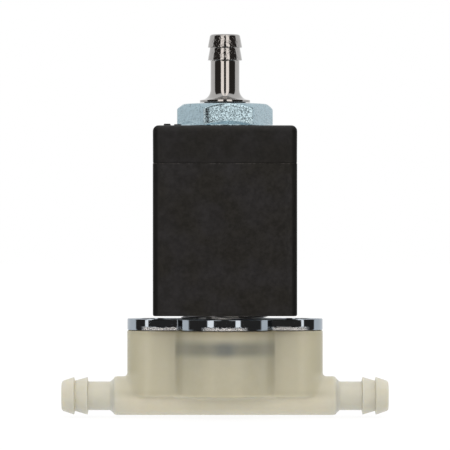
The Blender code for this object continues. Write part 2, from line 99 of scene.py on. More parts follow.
PORT_R = 1.9
POCKET_R, POCKET_FLOOR = 9.5, 13.35
CHAMBER_R, CHAMBER_FLOOR = 6.6, 9.5
SEAT_R, SEAT_TOP, SEAT_FLARE = 2.2, 12.0, 0.2
ORIFICE_R = 1.2
DROP_X, DROP_R, DROP_TOP = 4.6, 1.3, 10.0
OUTLET_START = 3.3
SCREW_HOLE_R, SCREW_HOLE_FLOOR = 1.6, 9.6

FASTENER_X = (SCREW_LOW[0] + SCREW_HIGH[0]) / 2
SCREW_R = 1.5
SCREW_HEAD_R = 2.9
SCREW_HEAD_DEPTH = 1.6
SCREW_THREAD_DEPTH = 0.25
THREAD_PITCH = 0.5
WIRE_PITCH = 0.5
PLATE_STEP = 0.16
PLATE_EDGE_R = 0.16
PLATE_FOOT = 0.14
PLATE_INSET = 0.05
TORN_HEIGHT = 0.5
TORN_ROUGHNESS = 0.04

TUBE_R = 6.5
COIL_HALF = COIL_HIGH[0]
COIL_FRONT = COIL_LOW[1]
COIL_BACK = 16.0
COIL_MIDDLE = (COIL_LOW[2] + COIL_HIGH[2]) / 2
COIL_SEAM = COIL_HIGH[2] - 7.95
PLUG_BACK = COIL_HIGH[1]
PLUG_HALF = 13.75
COIL_FOOT_R, COIL_TOP_R, PLUG_EDGE_R = 0.4, 1.25, 0.6
PLUG_GROOVE = 0.35
COIL_BORE_R = 6.65
COIL_POCKET_HALF = 13.2
COIL_ROOF = 2.65
INSERT_R, INSERT_FLOOR = 2.4, 17.0
SEAM_DEPTH = 0.1
GATE_Y = -12.6
GATE_MARKS = ((-12.2, 0.85, 0.36), (-10.0, 0.9, 0.26))  # x, radius and height
BLADES = ("terminal_left", "terminal_right", "ground_terminal")
BLADE_HALF_W, BLADE_HALF_T, BLADE_EDGE = 3.15, 0.4, 0.12
BLADE_HOLE_R, BLADE_HOLE_INSET = 0.8, 3.6
BLADE_GAP = 0.15

NUT_FLAT = 9.0
NUT_CORNER = 10.36
NUT_TURN = 5  # degrees
NUT_FOOT_R = 10.38
NUT_BORE_R = 6.12
NUT_BORE_CHAMFER = 0.6

FITTING_FLANGE_R = TOP_HIGH[0]
FITTING_SHAFT_R = 3.09
FITTING_TIP_R = 3.22
FITTING_RIM_R = 3.66
FITTING_RIMS_Z = (78.75, 76.0)
FITTING_FILLET_R = 2.3
FITTING_BORE_R = 1.5
FITTING_THREAD_R = 2.45
FITTING_THREAD_DEPTH = 0.25
FITTING_FLANGE = 0.5
GASKET = 0.35

WASHER_OUTER_R = 9.4
WASHER_THICKNESS = 0.25
WASHER_WAVES = 3
PLUNGER_SPRING_R, PLUNGER_WIRE_R, PLUNGER_TURNS = 5.325, 0.4, 5
SEAL_SPRING_R, SEAL_WIRE_R, SEAL_TURNS = 1.7, 0.22, 4
O_RING_R = 1.25

ROUND = 96  # faces round a turned piece
GUARD = 0.3  # flat strip beside a rounded corner, as a share of its reach: the shading is even past it
EDGE_GUARD = 0.1  # the same beside a corner of the coil, in millimetres
FINE_LATHE, SMALL_LATHE, HOLE_LATHE = 64, 48, 24


# ---- mesh tools


def new_object(name, data):
    obj = bpy.data.objects.new(name, data)
    bpy.context.scene.collection.objects.link(obj)
    return obj


def meshed(name, bm):
    """Turns the working mesh into an object, and frees it."""
    mesh = bpy.data.meshes.new(name)
    bm.to_mesh(mesh)
    bm.free()
    return new_object(name, mesh)


def smooth(obj, angle=35):
    """Smooth shading that keeps large faces flat beside a rounded edge."""
    obj.data.shade_smooth()
    obj.data.set_sharp_from_angle(angle=math.radians(angle))
    if not obj.modifiers:
        weigh = obj.modifiers.new("normals", "WEIGHTED_NORMAL")
        weigh.keep_sharp = True
    return obj


def loft(name, rings, wrap=False, sharp=35):
    """Closed rings of points, skinned one to the next. The ends are capped unless they wrap."""
    bm = bmesh.new()
    rows = [[bm.verts.new([value * MM for value in point]) for point in ring] for ring in rings]
    pairs = list(zip(rows, rows[1:]))
    if wrap:
        pairs.append((rows[-1], rows[0]))
    for here, there in pairs:
        for index in range(len(here)):
            after = (index + 1) % len(here)
            bm.faces.new((here[index], here[after], there[after], there[index]))
    if not wrap:
        bm.faces.new(rows[0])
        bm.faces.new(list(reversed(rows[-1])))
    bmesh.ops.remove_doubles(bm, verts=bm.verts, dist=1e-7)
    bmesh.ops.dissolve_degenerate(bm, edges=bm.edges, dist=1e-7)
    bmesh.ops.recalc_face_normals(bm, faces=bm.faces)
    return smooth(meshed(name, bm), sharp)


def softened(profile, radius=0.12, steps=3):
    """A closed profile whose corners are rounded, each by no more than a third of its shorter side."""
    points = [np.array(point, float) for point in profile]
    found = []
    for index, corner in enumerate(points):
        before, after = points[index - 1], points[(index + 1) % len(points)]
        back, ahead = before - corner, after - corner
        reach = min(radius, np.linalg.norm(back) / 3, np.linalg.norm(ahead) / 3)
        start = corner + back / np.linalg.norm(back) * reach
        end = corner + ahead / np.linalg.norm(ahead) * reach
        found.append(start + (start - corner) * GUARD)
        for step in range(steps + 1):
            t = step / steps
            found.append((1 - t) ** 2 * start + 2 * t * (1 - t) * corner + t * t * end)
        found.append(end + (end - corner) * GUARD)
    return found


def lathe(name, profile, axis="Z", steps=ROUND, at=(0, 0, 0), rounding=0.12):
    """A closed profile of (radius, place along the axis) turned about the axis."""
    rings = []
    for radius, along in softened(profile, rounding):
        ring = []
        for step in range(steps):
            angle = 2 * math.pi * step / steps
            side, up = radius * math.cos(angle), radius * math.sin(angle)
            point = {"Z": (side, up, along), "X": (along, side, up), "Y": (side, along, up)}[axis]
            ring.append([value + offset for value, offset in zip(point, at)])
        rings.append(ring)
    return loft(name, rings, wrap=True)


def arc(centre, radius, start, end, steps):
    """Points on a circle, from one angle in degrees to another."""
    turns = [math.radians(start + (end - start) * step / steps) for step in range(steps + 1)]
    return [(centre[0] + radius * math.cos(t), centre[1] + radius * math.sin(t)) for t in turns]


def block(name, low, high):
    """A box between two corners."""
    bm = bmesh.new()
    bmesh.ops.create_cube(bm, size=1.0)
    for vert in bm.verts:
        for axis in range(3):
            middle = (low[axis] + high[axis]) / 2
            vert.co[axis] = (middle + vert.co[axis] * (high[axis] - low[axis])) * MM
    return meshed(name, bm)


def applied(obj):
    """Bakes the modifiers into the mesh."""
    bpy.context.view_layer.update()
    graph = bpy.context.evaluated_depsgraph_get()
    mesh = bpy.data.meshes.new_from_object(obj.evaluated_get(graph), depsgraph=graph)
    obj.modifiers.clear()
    obj.data = mesh
    return obj


def combined(obj, others, operation):
    """Cuts or joins the others, which are used up."""
    obj.modifiers.clear()
    for other in others:
        other.modifiers.clear()
        modifier = obj.modifiers.new("shape", "BOOLEAN")
        modifier.operation = operation
        modifier.object = other
        modifier.solver = "EXACT"
        applied(obj)
        bpy.data.objects.remove(other, do_unlink=True)
    return obj


# ---- distance functions, for pieces with soft edges and fillets


def rounded(first, second, radius):
    """Where two solids meet in an outside edge of that radius."""
    a, b = first + radius, second + radius
    return np.minimum(np.maximum(a, b), 0) + np.hypot(np.maximum(a, 0), np.maximum(b, 0)) - radius


def merged(first, second, fillet):
    """Two solids joined, with a fillet in the corner between them."""
    near = np.maximum(fillet - np.abs(first - second), 0) / fillet
    return np.minimum(first, second) - near * near * fillet / 4


def between(value, low, high):
    """A slab's distance, below zero inside it."""
    return np.abs(value - (low + high) / 2) - (high - low) / 2


def stadium(x, y, reach, radius):
    """Two discs side by side and what lies between them, reaching that far each way along X."""
    return np.hypot(np.maximum(np.abs(x) - (reach - radius), 0), y) - radius


def carved(obj, distance, voxel, rounds=5):
    """Remeshes the piece in even cells and moves each point on to the surface where distance is zero."""
    remesh = obj.modifiers.new("cells", "REMESH")
    remesh.mode = "VOXEL"
    remesh.voxel_size = voxel * MM
    applied(obj)
    count = len(obj.data.vertices)
    places = np.empty(count * 3, np.float32)
    obj.data.vertices.foreach_get("co", places)
    places = places.reshape(-1, 3).astype(float) / MM
    probe, least_slope = 0.004, 0.2
    for _ in range(rounds):
        slope = np.empty_like(places)
        for axis in range(3):
            offset = np.zeros(3)
            offset[axis] = probe
            slope[:, axis] = (distance(places + offset) - distance(places - offset)) / (2 * probe)
        steepness = np.maximum((slope**2).sum(axis=1), least_slope)
        move = -slope * (distance(places) / steepness)[:, None]
        longest = np.maximum(np.linalg.norm(move, axis=1) / voxel, 1)
        places += move / longest[:, None]
    obj.data.vertices.foreach_set("co", (places * MM).astype(np.float32).ravel())
    obj.data.update()
    obj.data.shade_smooth()
    return obj


def copy_of(name, node):
    """A new object with a copy of the node's mesh."""
    obj = new_object(name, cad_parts[node].data.copy())
    obj.data.materials.clear()
    return obj


# ---- shader tools


def add(tree, kind, inputs=None, **settings):
    """A node with its settings, each input given as a value or as the socket that feeds it."""
    node = tree.nodes.new("ShaderNode" + kind)
    for key, value in settings.items():
        setattr(node, key, value)
    for key, value in (inputs or {}).items():
        if isinstance(value, bpy.types.NodeSocket):
            tree.links.new(value, node.inputs[key])
        else:
            node.inputs[key].default_value = value
    return node


def maths(tree, operation, *values, clamp=False):
    node = add(tree, "Math", dict(enumerate(values)), operation=operation, use_clamp=clamp)
    return node.outputs[0]


def product(tree, value, *others):
    for other in others:
        value = maths(tree, "MULTIPLY", value, other)
    return value


def total(tree, value, *others):
    for other in others:
        value = maths(tree, "ADD", value, other)
    return value


def distance_from_axis(tree, first, second):
    squares = [maths(tree, "POWER", value, 2.0) for value in (first, second)]
    return maths(tree, "SQRT", total(tree, *squares))


def blend_colour(tree, factor, first, second):
    return add(tree, "Mix", {0: factor, 6: first, 7: second}, data_type="RGBA").outputs[2]


def blend_value(tree, factor, first, second):
    return add(tree, "Mix", {0: factor, 2: first, 3: second}, data_type="FLOAT").outputs[0]


def tinted(tree, colour, mask, amount, paint):
    """The colour, with that amount of the paint where the mask is 1."""
    return blend_colour(tree, product(tree, mask, amount), colour, (*paint, 1))


def ramp(tree, value, low, high):
    """0 below low, 1 above high and a smooth rise between them."""
    limits = {"Value": value, "From Min": low, "From Max": high}
    return add(tree, "MapRange", limits, interpolation_type="SMOOTHSTEP").outputs[0]


def noise(tree, place, scale, detail, roughness=0.5, distortion=0.0):
    inputs = {"Vector": place, "Scale": scale, "Detail": detail}
    return add(tree, "TexNoise", inputs | {"Roughness": roughness, "Distortion": distortion}).outputs[0]


def new_group(name, inputs, outputs):
    """An effect that materials share: its tree, the sockets that feed it and the sockets that it fills."""
    tree = bpy.data.node_groups.new(name, "ShaderNodeTree")
    for label, value in inputs.items():
        socket = tree.interface.new_socket(label, in_out="INPUT", socket_type="NodeSocketFloat")
        socket.default_value = value
    for label in outputs:
        tree.interface.new_socket(label, in_out="OUTPUT", socket_type="NodeSocketFloat")
    start = tree.nodes.new("NodeGroupInput")
    end = tree.nodes.new("NodeGroupOutput")
    return tree, start.outputs, end.inputs


def use(tree, group, **inputs):
    """The outputs of a shared effect, with an underscore for each space in the names of its inputs."""
    node = add(tree, "Group", node_tree=group)
    for key, value in inputs.items():
        socket = node.inputs[key.replace("_", " ")]
        if isinstance(value, bpy.types.NodeSocket):
            tree.links.new(value, socket)
        else:
            socket.default_value = value
    return node.outputs


def place_mm(tree):
    """The point on the piece, in millimetres, in the object's own frame."""
    coordinates = add(tree, "TexCoord").outputs["Object"]
    return add(tree, "VectorMath", {0: coordinates, "Scale": 1 / MM}, operation="SCALE").outputs[0]


def place_xyz(tree):
    return add(tree, "SeparateXYZ", {0: place_mm(tree)}).outputs


def moulded_surface():
    """Fine grain and slow waviness of a moulding, with a mottle for its colour."""
    tree, given, result = new_group(
        "moulded_surface",
        {"Grain Size": 0.3, "Grain": 1.0, "Waviness": 1.0},
        ["Height", "Mottle", "Cloud", "Patch"],
    )
    place = place_mm(tree)
    scale = maths(tree, "DIVIDE", 1.0, given["Grain Size"])
    height = product(tree, noise(tree, place, scale, 3.0, 0.6), given["Grain"])
    wave = product(tree, noise(tree, place, 0.16, 1.0), given["Waviness"])
    tree.links.new(total(tree, height, wave), result["Height"])
    tree.links.new(noise(tree, place, 0.45, 5.0, 0.65), result["Mottle"])
    tree.links.new(noise(tree, place, 1.2, 3.0, 0.75), result["Cloud"])
    tree.links.new(ramp(tree, noise(tree, place, 0.14, 2.0), 0.35, 0.65), result["Patch"])
    return tree


def turned_surface():
    """Rings left by a cutting tool that went round Z."""
    tree, given, result = new_group("turned_surface", {"Pitch": 0.12}, ["Height", "Streak"])
    x, y, z = place_xyz(tree)
    across = maths(tree, "DIVIDE", total(tree, z, distance_from_axis(tree, x, y)), given["Pitch"])
    along = product(tree, maths(tree, "ARCTAN2", y, x), 0.6)
    line = add(tree, "CombineXYZ", {0: across, 1: along}).outputs[0]
    tree.links.new(noise(tree, line, 1.0, 2.0), result["Height"])
    tree.links.new(noise(tree, line, 0.13, 3.0), result["Streak"])
    return tree


def plated_grain():
    """The bright crystals of a plated or torn metal surface."""
    tree, given, result = new_group("plated_grain", {"Cell": 0.2}, ["Height", "Sparkle", "Cloud", "Pits"])
    place = place_mm(tree)
    scale = maths(tree, "DIVIDE", 1.0, given["Cell"])
    cells = add(tree, "TexVoronoi", {"Vector": place, "Scale": scale})
    picked = add(tree, "SeparateColor", {0: cells.outputs["Color"]}).outputs[0]
    rough = noise(tree, place, scale, 4.0, 0.7)
    tree.links.new(total(tree, rough, product(tree, picked, 0.35)), result["Height"])
    tree.links.new(picked, result["Sparkle"])
    pits = noise(tree, place, scale, 2.0, 0.6, 0.5)
    tree.links.new(ramp(tree, pits, 0.42, 0.52), result["Pits"])
    tree.links.new(noise(tree, place, 0.35, 3.0), result["Cloud"])
    return tree


def edge_wear():
    """1 along outside edges, broken up by noise."""
    tree, given, result = new_group("edge_wear", {"Amount": 0.5}, ["Mask"])
    ridge = ramp(tree, add(tree, "NewGeometry").outputs["Pointiness"], 0.52, 0.6)
    breaks = noise(tree, place_mm(tree), 0.9, 4.0)
    worn = product(tree, ridge, ramp(tree, breaks, 0.35, 0.65))
    tree.links.new(maths(tree, "MULTIPLY", worn, given["Amount"], clamp=True), result["Mask"])
    return tree


def handling_marks():
    """Fine scratches, as a mask."""
    tree, given, result = new_group("handling_marks", {"Amount": 0.5}, ["Mask"])
    drawn_out = {"Vector": place_mm(tree), "Rotation": (0.3, 0.5, 0.7), "Scale": (4.0, 0.25, 3.0)}
    place = add(tree, "Mapping", drawn_out)
    mask = ramp(tree, noise(tree, place.outputs[0], 1.0, 5.0, distortion=0.4), 0.62, 0.7)
    tree.links.new(product(tree, mask, given["Amount"]), result["Mask"])
    return tree


MOULDED = moulded_surface()
TURNED = turned_surface()
GRAIN = plated_grain()
WEAR = edge_wear()
MARKS = handling_marks()


def new_material(name, metallic=0.0, **sockets):
    """A material with its Principled shader's constant sockets set."""
    material = bpy.data.materials.new(name)
    material.use_nodes = True
    tree = material.node_tree
    shader = tree.nodes["Principled BSDF"]
    shader.inputs["Metallic"].default_value = metallic
    for key, value in sockets.items():
        shader.inputs[key.replace("_", " ")].default_value = value
    return material, tree, shader.inputs


def feed(tree, shader, colour, roughness, height, depth):
    """Feeds the shader a colour, a roughness and a bump: the height times the depth, in millimetres."""
    tree.links.new(colour, shader["Base Color"])
    tree.links.new(roughness, shader["Roughness"])
    bump = add(tree, "Bump", {"Strength": 1.0, "Distance": depth * MM, "Height": height})
    tree.links.new(bump.outputs[0], shader["Normal"])


# ---- materials


def ivory_plastic():
    """Translucent natural nylon: greyer where it is thin, with the seal showing darkly through the boss.
    Shade is painted in under the plate, under the boss, on the boss's sides and at the ears' outer ends.
    """
    material, tree, shader = new_material(
        "ivory_plastic",
        Subsurface_Weight=0.4,
        Subsurface_Scale=MM,
        Subsurface_Radius=(3.2, 2.6, 1.5),
        IOR=1.5,
        Coat_Weight=0.1,
        Coat_Roughness=0.25,
    )
    surface = use(tree, MOULDED, Grain_Size=0.22, Grain=0.25, Waviness=4.0)
    x, y, z = place_xyz(tree)
    span = maths(tree, "ABSOLUTE", x)
    radius = distance_from_axis(tree, x, y)
    in_boss = ramp(tree, radius, 12.3, 11.9)

    thick = blend_colour(tree, surface["Mottle"], (0.465, 0.435, 0.31, 1), (0.545, 0.515, 0.39, 1))
    bar = blend_colour(tree, surface["Mottle"], (0.69, 0.645, 0.50, 1), (0.765, 0.72, 0.575, 1))
    barb = blend_colour(tree, surface["Mottle"], (0.62, 0.60, 0.50, 1), (0.69, 0.67, 0.57, 1))
    colour = blend_colour(tree, ramp(tree, z, 5.0, 3.2), thick, bar)
    wall = product(tree, ramp(tree, span, 10.2, 13.0), ramp(tree, z, 4.2, 6.0))
    colour = tinted(tree, colour, wall, 0.5, (0.60, 0.565, 0.42))
    # painted shade: the ears' outer ends darkened towards the top, where they turn away from the front
    # lights
    wide = product(tree, ramp(tree, span, 17.6, 20.8), ramp(tree, z, 8.0, 10.0))
    colour = tinted(tree, colour, wide, 0.9, (0.40, 0.365, 0.225))
    # painted shadow: a dark line under the boss's lower edge, where it overhangs the bar
    under_boss_shadow = product(tree, ramp(tree, z, 3.7, 4.05), ramp(tree, z, 4.45, 4.15))
    under_boss_shadow = product(tree, under_boss_shadow, ramp(tree, span, 9.5, 7.0))
    colour = tinted(tree, colour, under_boss_shadow, 0.35, (0.28, 0.25, 0.17))
    colour = blend_colour(tree, ramp(tree, span, 18.0, 27.0), colour, barb)

    # painted shadow: the body darkened brown just under the plate, strongest near the middle
    rim = product(tree, ramp(tree, z, 16.4, 18.3), ramp(tree, radius, 26.0, 10.0))
    colour = tinted(tree, colour, rim, 0.58, (0.29, 0.23, 0.13))
    # painted shade: the boss darkened on its sides, which turn away from the front lights
    boss_side_shade = product(tree, ramp(tree, span, 7.2, 10.2), ramp(tree, radius, 12.4, 11.9))
    boss_side_shade = product(tree, boss_side_shade, ramp(tree, z, 4.2, 8.5))
    colour = tinted(tree, colour, boss_side_shade, 0.3, (0.33, 0.295, 0.18))

    band = product(tree, ramp(tree, z, 11.9, 13.9), ramp(tree, z, 16.7, 14.7))
    ring = product(tree, band, in_boss, ramp(tree, span, 22.0, 0.0))
    seal = product(tree, ring, total(tree, 0.53, product(tree, surface["Mottle"], 0.3)))
    haze = product(tree, ramp(tree, z, 8.0, 14.0), ramp(tree, z, 18.2, 15.0))
    haze = product(tree, haze, in_boss)
    colour = tinted(tree, colour, haze, 0.22, (0.30, 0.30, 0.25))
    colour = blend_colour(tree, seal, colour, (0.13, 0.14, 0.12, 1))
    core = product(tree, ring, ramp(tree, span, 3.2, 0.4))
    colour = tinted(tree, colour, core, 0.3, (0.09, 0.12, 0.16))
    rough = total(tree, 0.32, product(tree, surface["Mottle"], 0.12))
    feed(tree, shader, colour, rough, surface["Height"], 0.012)
    return material


def coil_plastic():
    """Black glass-filled moulding, matte and faintly mottled, a shade deeper above its seam, with a painted
    dark reflection down its front corners.
    """
    material, tree, shader = new_material("coil_plastic", IOR=1.46, Specular_IOR_Level=0.3)
    surface = use(tree, MOULDED, Grain_Size=0.16, Grain=1.0, Waviness=3.0)
    x, y, z = place_xyz(tree)
    tone = product(tree, total(tree, surface["Mottle"], surface["Cloud"]), 0.5)
    tone = ramp(tree, tone, 0.35, 0.65)
    warm = blend_colour(tree, tone, (0.0038, 0.003, 0.0012, 1), (0.0145, 0.0128, 0.0098, 1))
    cool = blend_colour(tree, tone, (0.0070, 0.0062, 0.0062, 1), (0.0175, 0.0162, 0.0168, 1))
    colour = blend_colour(tree, surface["Patch"], warm, cool)
    # painted dark reflection: near-black strips down the rounded front corners, where they mirror the dark
    # room
    front = ramp(tree, y, COIL_FRONT + 2.4, COIL_FRONT + 1.0)
    edge = product(tree, ramp(tree, maths(tree, "ABSOLUTE", x), 13.95, 14.3), front)
    colour = tinted(tree, colour, edge, 0.95, (0.0008, 0.0006, 0.0003))
    upper = product(tree, ramp(tree, z, COIL_SEAM - 0.1, COIL_SEAM + 0.1), 0.3)
    colour = blend_colour(tree, upper, colour, (0.004, 0.004, 0.0042, 1))
    seam = maths(tree, "ABSOLUTE", maths(tree, "SUBTRACT", z, COIL_SEAM - 0.13))
    broken = ramp(tree, surface["Cloud"], 0.45, 0.6)
    lip = product(tree, ramp(tree, seam, 0.1, 0.04), broken)
    worn = maths(tree, "MAXIMUM", use(tree, WEAR, Amount=0.2)["Mask"], product(tree, lip, 0.8))
    colour = blend_colour(tree, worn, colour, (0.06, 0.055, 0.05, 1))
    rough = total(tree, 0.42, product(tree, surface["Mottle"], 0.2))
    feed(tree, shader, colour, rough, surface["Height"], 0.02)
    return material


def plate_steel():
    """Bright plating. The punched edge is torn and sparkles at its foot, and the rolled faces are duller."""
    material, tree, shader = new_material("plate_steel", metallic=1.0)
    grain = use(tree, GRAIN, Cell=0.5)
    x, _, z = place_xyz(tree)
    span = maths(tree, "ABSOLUTE", x)
    rolled = add(tree, "SeparateXYZ", {0: add(tree, "NewGeometry").outputs["True Normal"]}).outputs[2]
    rolled = ramp(tree, rolled, 0.5, 0.9)
    level = maths(tree, "SUBTRACT", z, PLATE_LOW[2])
    level = total(tree, level, product(tree, grain["Cloud"], 0.25))
    ears = product(tree, ramp(tree, span, 10.0, 10.6), ramp(tree, span, 18.2, 17.0))
    worked = maths(tree, "MAXIMUM", ears, ramp(tree, span, 5.4, 4.0))
    level = total(tree, level, product(tree, grain["Sparkle"], 0.25))
    torn = product(tree, ramp(tree, level, 1.0, 0.9), worked)
    colour = blend_colour(tree, grain["Cloud"], (0.30, 0.345, 0.39, 1), (0.36, 0.405, 0.45, 1))
    bits = blend_colour(tree, grain["Sparkle"], (0.7, 0.72, 0.74, 1), (1.0, 1.0, 1.0, 1))
    colour = blend_colour(tree, product(tree, torn, 0.9), colour, bits)
    rough = total(tree, 0.035, product(tree, torn, 0.12), product(tree, rolled, 0.3))
    rough = total(tree, rough, use(tree, MARKS, Amount=0.15)["Mask"])
    height = product(tree, grain["Height"], total(tree, 0.003, torn))
    feed(tree, shader, colour, rough, height, 0.22)
    return material


def zinc_steel():
    """Clear zinc plating with a cold tint and a fine crystal grain."""
    material, tree, shader = new_material("zinc_steel", metallic=1.0)
    grain = use(tree, GRAIN, Cell=0.42)
    colour = blend_colour(tree, grain["Cloud"], (0.335, 0.45, 0.505, 1), (0.365, 0.48, 0.535, 1))
    worn = use(tree, WEAR, Amount=0.5)["Mask"]
    colour = blend_colour(tree, worn, colour, (0.62, 0.66, 0.68, 1))
    rough = total(tree, 0.03, product(tree, grain["Sparkle"], 0.03))
    height = total(tree, grain["Pits"], product(tree, grain["Height"], 0.1))
    feed(tree, shader, colour, rough, height, 0.045)
    return material


def turned_metal(name, dark, light, roughness, pitch=0.12):
    """Metal that came off a lathe, and perhaps was plated after."""
    material, tree, shader = new_material(name, metallic=1.0)
    rings = use(tree, TURNED, Pitch=pitch)
    marks = use(tree, MARKS, Amount=0.4)["Mask"]
    colour = blend_colour(tree, rings["Streak"], (*dark, 1), (*light, 1))
    colour = tinted(tree, colour, marks, 0.3, light)
    rough = total(tree, roughness, product(tree, rings["Streak"], roughness * 0.8))
    rough = total(tree, rough, product(tree, marks, 0.1))
    feed(tree, shader, colour, rough, rings["Height"], 0.004)
    return material


def plated_fitting():
    """Nickel over turned steel: bright on the shank, grainy on the ramps of the barbs."""
    material, tree, shader = new_material("nickel", metallic=1.0)
    rings = use(tree, TURNED, Pitch=0.3)
    grain = use(tree, GRAIN, Cell=0.8)
    marks = use(tree, MARKS, Amount=0.3)["Mask"]
    colour = blend_colour(tree, rings["Streak"], (0.33, 0.32, 0.31, 1), (0.41, 0.40, 0.39, 1))
    colour = blend_colour(tree, marks, colour, (0.48, 0.47, 0.46, 1))
    z = place_xyz(tree)[2]
    ramps = ramp(tree, z, FITTING_RIMS_Z[1] - 0.3, FITTING_RIMS_Z[1])
    rough = total(tree, 0.04, product(tree, rings["Streak"], 0.05), product(tree, marks, 0.1))
    height = total(tree, grain["Pits"], product(tree, grain["Height"], 0.6))
    height = product(tree, height, product(tree, ramps, 0.014))
    height = total(tree, height, product(tree, rings["Height"], 0.003))
    feed(tree, shader, colour, rough, height, 1.0)
    return material


def sheet_metal(name, dark, light, roughness):
    """Rolled and plated sheet, with a cloudy tone and handling marks."""
    material, tree, shader = new_material(name, metallic=1.0)
    grain = use(tree, GRAIN, Cell=0.3)
    marks = use(tree, MARKS, Amount=0.8)["Mask"]
    colour = blend_colour(tree, grain["Cloud"], (*dark, 1), (*light, 1))
    rough = total(tree, roughness, product(tree, marks, 0.2))
    feed(tree, shader, colour, rough, grain["Height"], 0.0025)
    return material


def soft_plastic(name, dark, light, roughness, grain_size=0.25):
    """Inner mouldings and rubber, with a light mottle."""
    material, tree, shader = new_material(name)
    surface = use(tree, MOULDED, Grain_Size=grain_size)
    colour = blend_colour(tree, surface["Mottle"], (*dark, 1), (*light, 1))
    rough = total(tree, roughness, product(tree, surface["Mottle"], 0.15))
    feed(tree, shader, colour, rough, surface["Height"], 0.012)
    return material


def wound_copper():
    """Enamelled wire laid side by side round the bobbin."""
    material, tree, shader = new_material("wound_copper", metallic=1.0, Coat_Weight=0.6, Coat_Roughness=0.15)
    rings = use(tree, TURNED, Pitch=0.35)
    z = place_xyz(tree)[2]
    turns = maths(tree, "ABSOLUTE", maths(tree, "SINE", product(tree, z, 2 * math.pi / WIRE_PITCH)))
    colour = blend_colour(tree, rings["Streak"], (0.36, 0.11, 0.04, 1), (0.62, 0.24, 0.10, 1))
    rough = total(tree, 0.25, product(tree, rings["Streak"], 0.15))
    feed(tree, shader, colour, rough, turns, 0.1)
    return material


IVORY = ivory_plastic()
BLACK = coil_plastic()
BRIGHT = plate_steel()
ZINC = zinc_steel()
NICKEL = plated_fitting()
STAINLESS = turned_metal("stainless", (0.48, 0.48, 0.47), (0.62, 0.62, 0.61), 0.18)
SPRING = turned_metal("spring_wire", (0.36, 0.36, 0.37), (0.55, 0.55, 0.55), 0.2, pitch=0.5)
WAVED = sheet_metal("washer_steel", (0.20, 0.20, 0.21), (0.30, 0.30, 0.31), 0.34)
COPPER = turned_metal("copper_ring", (0.60, 0.25, 0.13), (0.78, 0.40, 0.24), 0.2)
BRASS = turned_metal("turned_brass", (0.60, 0.44, 0.18), (0.80, 0.64, 0.32), 0.2)
TINNED = sheet_metal("tinned_blade", (0.58, 0.58, 0.57), (0.76, 0.76, 0.75), 0.22)
YOKE = sheet_metal("yoke_sheet", (0.36, 0.37, 0.38), (0.52, 0.53, 0.54), 0.3)
NYLON = soft_plastic("bobbin_nylon", (0.42, 0.39, 0.31), (0.55, 0.52, 0.43), 0.42)
RUBBER = soft_plastic("seal_rubber", (0.012, 0.012, 0.013), (0.024, 0.024, 0.025), 0.5, 0.12)
WINDING = wound_copper()


def finished(obj, material, body, slot, *nodes):
    """Gives a piece its material and its body, and hides the nodes that it stands for."""
    obj.data.materials.clear()
    obj.data.materials.append(material)
    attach(obj, body)
    if nodes:
        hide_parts(*nodes)
    return obj


# ---- the moulded body


def body_distance(places):
    """The bar, ears and boss in one, less the pocket for the tube and the flow passages."""
    x, y, z = places.T
    axis = np.hypot(y, z - BAR_Z)
    radius = np.hypot(x, y)
    level = between(z, BAR_Z, BODY_TOP)
    bar = rounded(np.abs(x) - BAR_END, axis - BAR_R, BAR_EDGE_R)
    ears = rounded(stadium(x, y, EAR_REACH, EAR_R), level, EAR_EDGE_R)
    ears = np.maximum(ears, rounded(np.abs(x) - EAR_REACH, BAR_Z - z, EAR_CORNER_R))
    boss = rounded(radius - BOSS_R, level, BOSS_EDGE_R)
    solid = merged(merged(ears, boss, BODY_FILLET), bar, BODY_FILLET)
    solid = np.maximum(solid, -z)

    pocket = np.maximum(radius - POCKET_R, POCKET_FLOOR - z)
    seat = np.maximum(radius - (SEAT_R + SEAT_FLARE * (SEAT_TOP - z)), z - SEAT_TOP)
    chamber = np.maximum(np.maximum(radius - CHAMBER_R, CHAMBER_FLOOR - z), -seat)
    orifice = np.maximum(radius - ORIFICE_R, BAR_Z - z)
    drop = np.maximum(np.maximum(np.hypot(x - DROP_X, y) - DROP_R, BAR_Z - z), z - DROP_TOP)
    inlet = np.maximum(axis - PORT_R, x - ORIFICE_R)
    outlet = np.maximum(axis - PORT_R, OUTLET_START - x)
    screws = np.maximum(np.hypot(np.abs(x) - FASTENER_X, y) - SCREW_HOLE_R, SCREW_HOLE_FLOOR - z)
    hollow = np.minimum.reduce([pocket, chamber, orifice, drop, inlet, outlet, screws])
    return np.maximum(solid, -hollow)


def make_body():
    body = copy_of("moulded_body", "valve_body")
    combined(body, [block("middle", (-BAR_END, -20, -1), (BAR_END, 20, BODY_TOP + 5))], "INTERSECT")
    carved(body, body_distance, BODY_CELL)
    finished(body, IVORY, "base", "valve_plastic", "valve_body")
    blind, root = BAR_END + 0.4, BAR_END - HOSE_OVERLAP
    profile = [(PORT_R, TIP_X), (HOSE_TIP_R - 0.3, TIP_X), (HOSE_TIP_R, TIP_X - 0.3)]
    for rim, neck in zip(HOSE_RIMS_X, (HOSE_TIP_R, HOSE_SHAFT_R)):
        profile += [(HOSE_RIM_R, rim + 0.16), (HOSE_RIM_R, rim), (neck, rim - 0.16)]
    profile += [(HOSE_SHAFT_R, BAR_END + HOSE_ROOT_FLARE), (HOSE_SHAFT_R + HOSE_ROOT_FLARE, root), (0, root)]
    profile += [(0, blind), (PORT_R, blind)]
    for side, name in ((-1, "left"), (1, "right")):
        barb = lathe("hose_barb_" + name, [(r, side * along) for r, along in profile], "X", at=(0, 0, BAR_Z))
        finished(barb, IVORY, "base", "valve_plastic")


# ---- flange plate and screws


